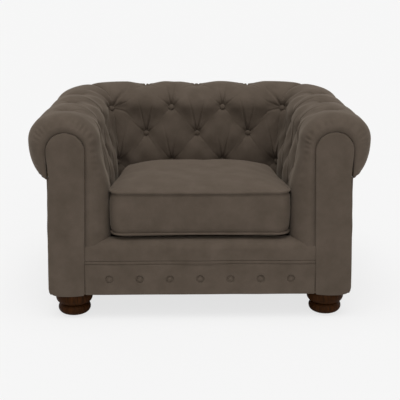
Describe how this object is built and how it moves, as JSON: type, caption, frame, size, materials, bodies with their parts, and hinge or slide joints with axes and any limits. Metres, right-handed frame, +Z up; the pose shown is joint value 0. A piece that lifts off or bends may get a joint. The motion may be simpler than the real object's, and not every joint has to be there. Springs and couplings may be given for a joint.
{
  "type": "chesterfield armchair",
  "caption": "Low armchair with rolled, deep-buttoned arms and back at one height, a loose boxed seat cushion, a buttoned front band and turned bun feet.",
  "frame": {"origin": "on the floor under the middle of the chair's box", "axes": "+X across the seat towards the viewer's right, +Y from the front to the back, +Z up"},
  "size_m": [1.1882, 0.9106, 0.7335],
  "materials": {
    "upholstery": "matte",
    "piping": "matte",
    "covered_button": "matte",
    "walnut": "satin",
    "frame_wood": "matte",
    "liner_board": "matte",
    "base_cloth": "matte",
    "felt": "matte",
    "steel": "satin"
  },
  "bodies": {
    "chair": {"back_batten": "frame_wood", "back_buttons": "covered_button", "back_liner": "liner_board", "back_pad": "upholstery", "back_rail": "frame_wood", "back_ribs": "frame_wood", "back_tack_rail": "frame_wood", "band_buttons": "covered_button", "block_screws": "steel", "corner_blocks": "frame_wood", "corner_ribs": "frame_wood", "corner_top_rails": "frame_wood", "deck_cloth": "base_cloth", "deck_pad": "upholstery", "dust_cover": "base_cloth", "foot_bolts": "steel", "foot_glides": "felt", "foot_nut_plates": "steel", "front_band": "upholstery", "front_lip": "upholstery", "front_rail": "frame_wood", "left_arm_batten": "frame_wood", "left_arm_buttons": "covered_button", "left_arm_front_board": "frame_wood", "left_arm_liner": "liner_board", "left_arm_pad": "upholstery", "left_arm_ribs": "frame_wood", "left_arm_tack_rail": "frame_wood", "left_corner_rail": "frame_wood", "left_facing": "upholstery", "left_front_foot": "walnut", "left_inner_rail": "frame_wood", "left_outside_panel": "upholstery", "left_rear_foot": "walnut", "left_side_rail": "frame_wood", "outside_back_panel": "upholstery", "rear_inner_rail": "frame_wood", "right_arm_batten": "frame_wood", "right_arm_buttons": "covered_button", "right_arm_front_board": "frame_wood", "right_arm_liner": "liner_board", "right_arm_pad": "upholstery", "right_arm_ribs": "frame_wood", "right_arm_tack_rail": "frame_wood", "right_corner_rail": "frame_wood", "right_facing": "upholstery", "right_front_foot": "walnut", "right_inner_rail": "frame_wood", "right_outside_panel": "upholstery", "right_rear_foot": "walnut", "right_side_rail": "frame_wood", "seat_springs": "steel", "spring_clips": "steel"},
    "cushion": {"seat_cushion": "upholstery", "cushion_top_piping": "piping", "cushion_bottom_piping": "piping"}
  },
  "joints": [
    {"name": "cushion_lift", "type": "slide", "parent": "chair", "child": "cushion", "axis": [0, 0, 1], "range_m": [0, 0.45]}
  ]
}
